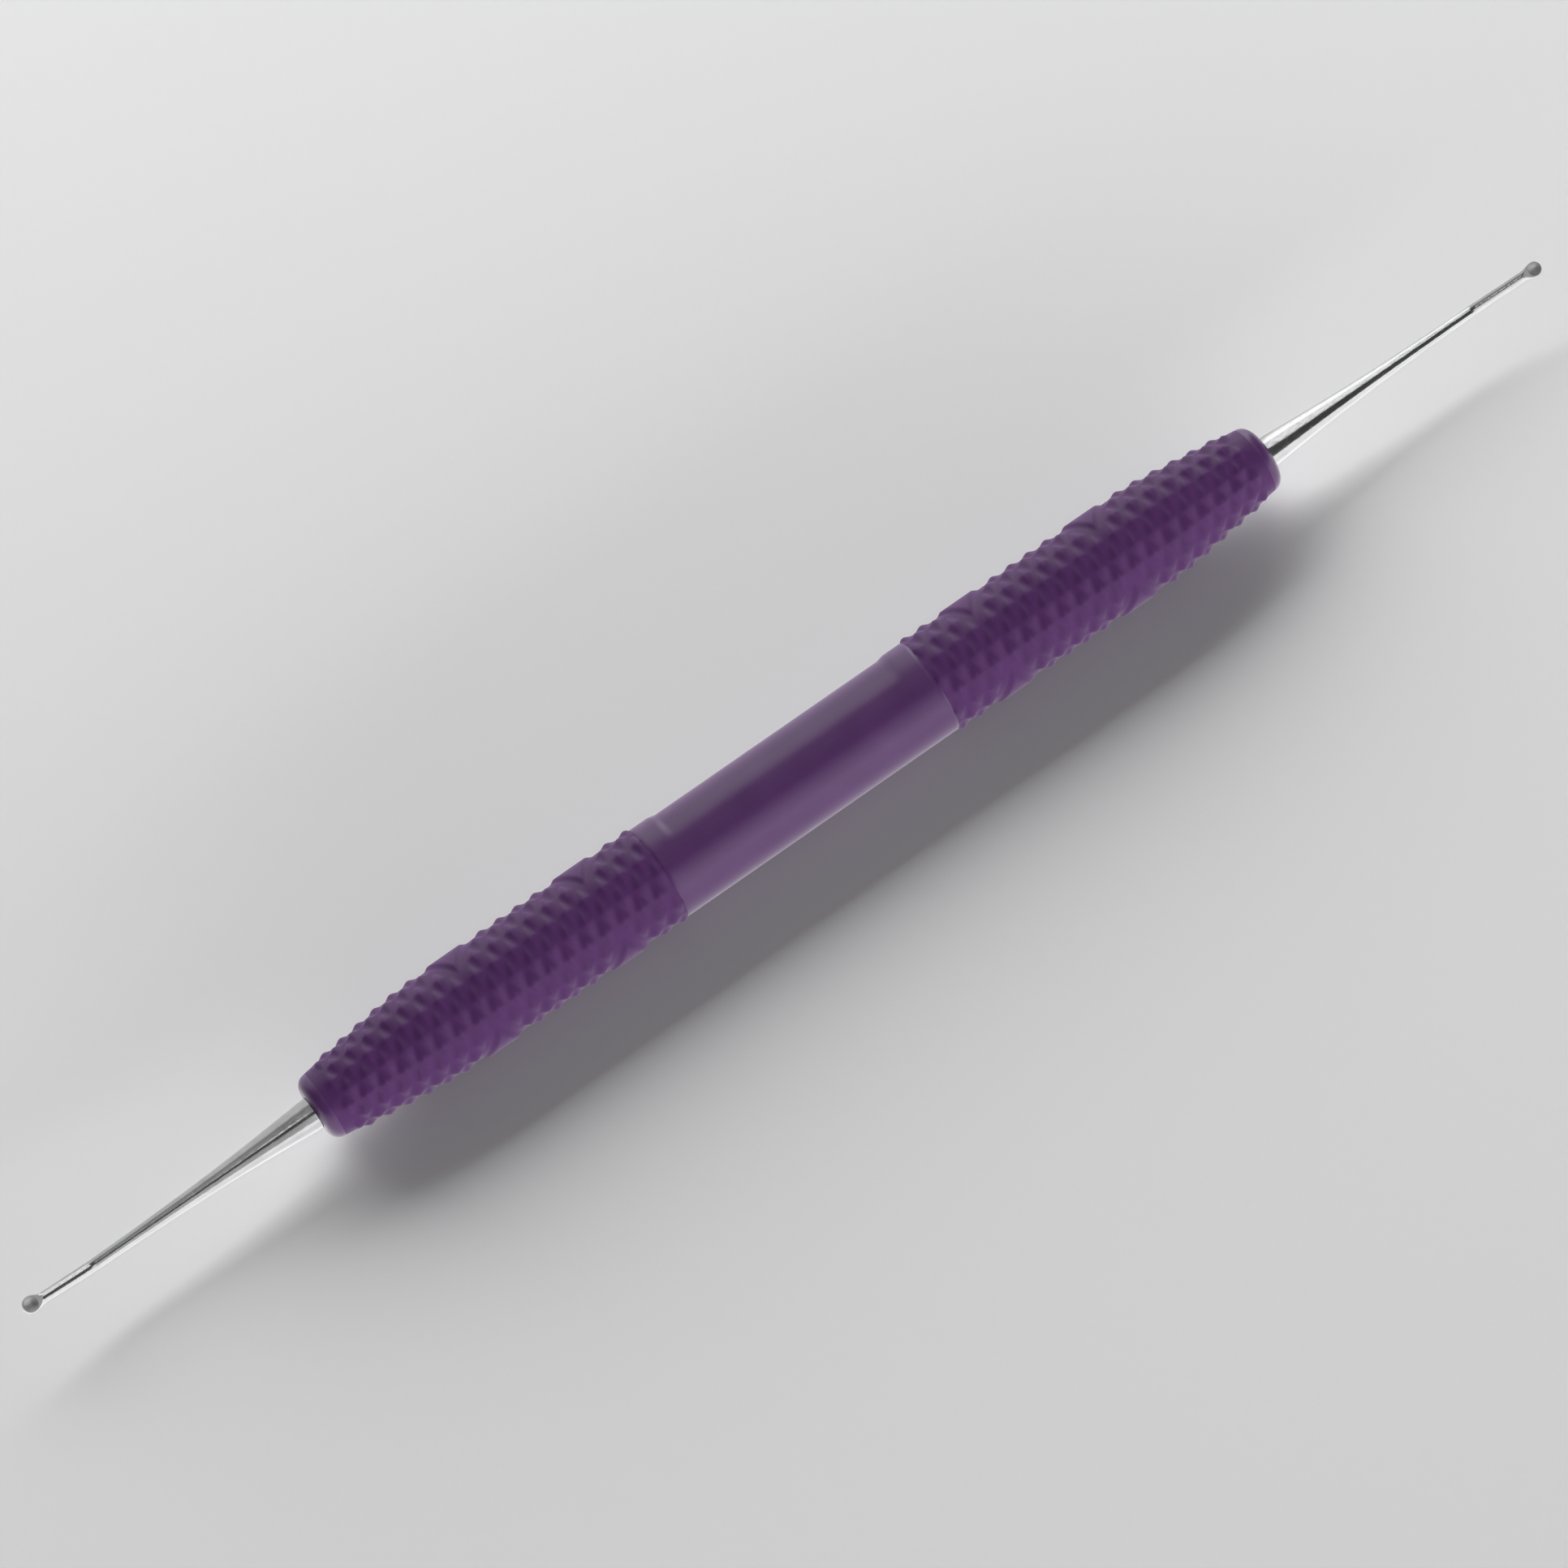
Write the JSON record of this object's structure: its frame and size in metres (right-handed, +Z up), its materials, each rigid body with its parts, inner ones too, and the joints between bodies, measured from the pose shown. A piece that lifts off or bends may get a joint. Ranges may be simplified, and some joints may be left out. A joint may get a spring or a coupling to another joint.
{
  "type": "periodontal curette",
  "caption": "Double-ended periodontal curette: a purple resin handle with diamond-studded grips and a slender polished steel spoon at each end.",
  "frame": {"origin": "on the ground under the middle of the handle", "axes": "+X along the instrument to its right working end, +Y away from the side seen in front, +Z up"},
  "size_m": [0.1702, 0.01, 0.0099],
  "materials": {
    "resin": "satin",
    "steel": "polished"
  },
  "bodies": {
    "root": {"handle": "resin", "working_end_left": "steel", "working_end_right": "steel"}
  },
  "joints": []
}
